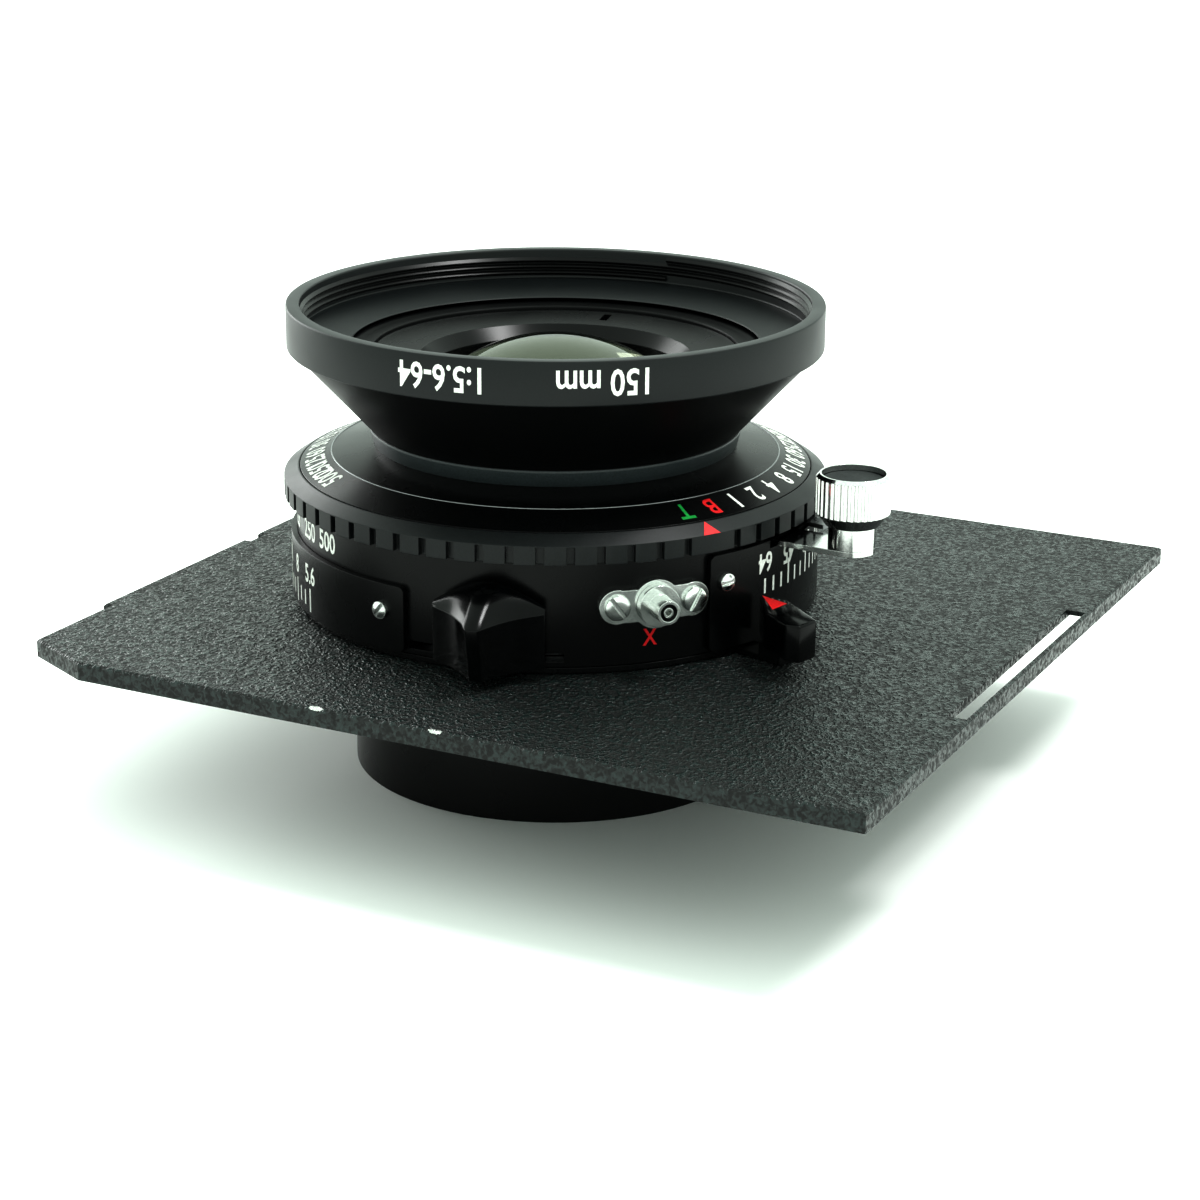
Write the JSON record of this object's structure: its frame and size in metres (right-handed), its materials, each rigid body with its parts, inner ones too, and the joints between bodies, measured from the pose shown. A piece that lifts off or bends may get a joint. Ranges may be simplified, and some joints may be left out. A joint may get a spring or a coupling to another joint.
{
  "type": "lens in leaf shutter on lens board",
  "caption": "Large-format lens with flared front hood, leaf shutter with castellated speed ring, aperture and cocking levers, sync and cable sockets, on a flat crinkle-finish lens board.",
  "frame": {"origin": "on the lens axis at the end plane of the rear barrel, which the part stands on", "axes": "+Z along the lens axis towards the front glass, -Y towards the board's slotted edge, X along that edge"},
  "size_m": [0.096, 0.0999, 0.0536],
  "materials": {
    "crinkle_enamel": "black crinkle enamel",
    "black_anodised": "satin black anodised",
    "grey_anodised": "satin dark grey anodised",
    "bright_chrome": "polished chrome plate",
    "satin_nickel": "satin nickel plate",
    "spring_steel": "ground steel",
    "blackened_steel": "blackened thin steel",
    "black_gloss_plastic": "moulded gloss black",
    "seal_rubber": "matt dark grey",
    "coated_glass": "single coated"
  },
  "bodies": {
    "mount": {"aperture_scale_plate_left": "black_anodised", "aperture_scale_plate_right": "black_anodised", "bracket_post": "spring_steel", "front_cell_barrel": "black_anodised", "front_cover_plate": "black_anodised", "front_glass_inner": "coated_glass", "front_glass_outer": "coated_glass", "front_hood": "black_anodised", "front_retaining_ring": "black_anodised", "iris_plate": "spring_steel", "lens_board": "crinkle_enamel", "locating_screw": "spring_steel", "plate_screw_1": "satin_nickel", "plate_screw_2": "satin_nickel", "plate_screw_3": "satin_nickel", "plate_screw_4": "satin_nickel", "rear_barrel": "black_anodised", "rear_glass_inner": "coated_glass", "rear_glass_outer": "coated_glass", "rear_retaining_ring": "black_anodised", "shutter_housing": "black_anodised", "shutter_plate": "spring_steel", "shutter_retaining_ring": "black_anodised", "socket_barrel": "bright_chrome", "socket_bracket": "bright_chrome", "socket_insert": "seal_rubber", "speed_scale_ring": "black_anodised", "sync_barrel": "satin_nickel", "sync_contact": "satin_nickel", "sync_insulator": "black_gloss_plastic", "sync_plate": "satin_nickel", "sync_screw_1": "satin_nickel", "sync_screw_2": "satin_nickel"},
    "speed": {"speed_ring": "grey_anodised", "speed_cam": "spring_steel"},
    "aperture": {"aperture_ring": "black_anodised", "aperture_lever_tip": "black_gloss_plastic"},
    "blade_drive": {"blade_drive_ring": "spring_steel"},
    "cocking": {"cocking_lever": "spring_steel", "cocking_lever_cap": "black_gloss_plastic"},
    "release": {"release_lever": "spring_steel"},
    "collar": {"socket_collar": "bright_chrome"},
    "iris_1": {"iris_blade_1": "blackened_steel"},
    "leaf_1": {"shutter_blade_1": "blackened_steel"},
    "iris_2": {"iris_blade_2": "blackened_steel"},
    "leaf_2": {"shutter_blade_2": "blackened_steel"},
    "iris_3": {"iris_blade_3": "blackened_steel"},
    "leaf_3": {"shutter_blade_3": "blackened_steel"},
    "iris_4": {"iris_blade_4": "blackened_steel"},
    "leaf_4": {"shutter_blade_4": "blackened_steel"},
    "iris_5": {"iris_blade_5": "blackened_steel"},
    "leaf_5": {"shutter_blade_5": "blackened_steel"}
  },
  "joints": [
    {"name": "speed_ring_turn", "type": "hinge", "parent": "mount", "child": "speed", "pos_m": [0, 0, 0.033], "axis": [0, 0, 1], "range_deg": [0, 83]},
    {"name": "aperture_turn", "type": "hinge", "parent": "mount", "child": "aperture", "pos_m": [0, 0, 0.02], "axis": [0, 0, 1], "range_deg": [0, 63]},
    {"name": "blade_drive_turn", "type": "hinge", "parent": "mount", "child": "blade_drive", "pos_m": [0, 0, 0.024], "axis": [0, 0, 1], "range_deg": [0, 20]},
    {"name": "cocking_turn", "type": "hinge", "parent": "mount", "child": "cocking", "pos_m": [0, 0, 0.0214], "axis": [0, 0, 1], "range_deg": [-20, 0]},
    {"name": "release_turn", "type": "hinge", "parent": "mount", "child": "release", "pos_m": [0.00408, -0.02314, 0.03145], "axis": [0, 0, 1], "range_deg": [0, 10], "stiffness_Nm_per_rad": 0.01},
    {"name": "collar_slide", "type": "slide", "parent": "mount", "child": "collar", "axis": [0, 0, 1], "range_m": [-0.0012, 0], "stiffness_N_per_m": 400},
    {"name": "iris_1_turn", "type": "hinge", "parent": "mount", "child": "iris_1", "pos_m": [0.0175, 0, 0.02106], "axis": [0, 0, -1], "range_deg": [0, 37]},
    {"name": "leaf_1_turn", "type": "hinge", "parent": "mount", "child": "leaf_1", "pos_m": [0.0175, 0, 0.02276], "axis": [0, 0, -1], "range_deg": [0, 47]},
    {"name": "iris_2_turn", "type": "hinge", "parent": "mount", "child": "iris_2", "pos_m": [0.00541, 0.01664, 0.02126], "axis": [0, 0, -1], "range_deg": [0, 37]},
    {"name": "leaf_2_turn", "type": "hinge", "parent": "mount", "child": "leaf_2", "pos_m": [0.00541, 0.01664, 0.02296], "axis": [0, 0, -1], "range_deg": [0, 47]},
    {"name": "iris_3_turn", "type": "hinge", "parent": "mount", "child": "iris_3", "pos_m": [-0.01416, 0.01029, 0.02146], "axis": [0, 0, -1], "range_deg": [0, 37]},
    {"name": "leaf_3_turn", "type": "hinge", "parent": "mount", "child": "leaf_3", "pos_m": [-0.01416, 0.01029, 0.02316], "axis": [0, 0, -1], "range_deg": [0, 47]},
    {"name": "iris_4_turn", "type": "hinge", "parent": "mount", "child": "iris_4", "pos_m": [-0.01416, -0.01029, 0.02166], "axis": [0, 0, -1], "range_deg": [0, 37]},
    {"name": "leaf_4_turn", "type": "hinge", "parent": "mount", "child": "leaf_4", "pos_m": [-0.01416, -0.01029, 0.02336], "axis": [0, 0, -1], "range_deg": [0, 47]},
    {"name": "iris_5_turn", "type": "hinge", "parent": "mount", "child": "iris_5", "pos_m": [0.00541, -0.01664, 0.02186], "axis": [0, 0, -1], "range_deg": [0, 37]},
    {"name": "leaf_5_turn", "type": "hinge", "parent": "mount", "child": "leaf_5", "pos_m": [0.00541, -0.01664, 0.02356], "axis": [0, 0, -1], "range_deg": [0, 47]}
  ],
  "couplings": [
    {"joint": "iris_1_turn", "follows": "aperture_turn", "ratio": 0.587},
    {"joint": "leaf_1_turn", "follows": "blade_drive_turn", "ratio": 2.35},
    {"joint": "iris_2_turn", "follows": "aperture_turn", "ratio": 0.587},
    {"joint": "leaf_2_turn", "follows": "blade_drive_turn", "ratio": 2.35},
    {"joint": "iris_3_turn", "follows": "aperture_turn", "ratio": 0.587},
    {"joint": "leaf_3_turn", "follows": "blade_drive_turn", "ratio": 2.35},
    {"joint": "iris_4_turn", "follows": "aperture_turn", "ratio": 0.587},
    {"joint": "leaf_4_turn", "follows": "blade_drive_turn", "ratio": 2.35},
    {"joint": "iris_5_turn", "follows": "aperture_turn", "ratio": 0.587},
    {"joint": "leaf_5_turn", "follows": "blade_drive_turn", "ratio": 2.35}
  ]
}
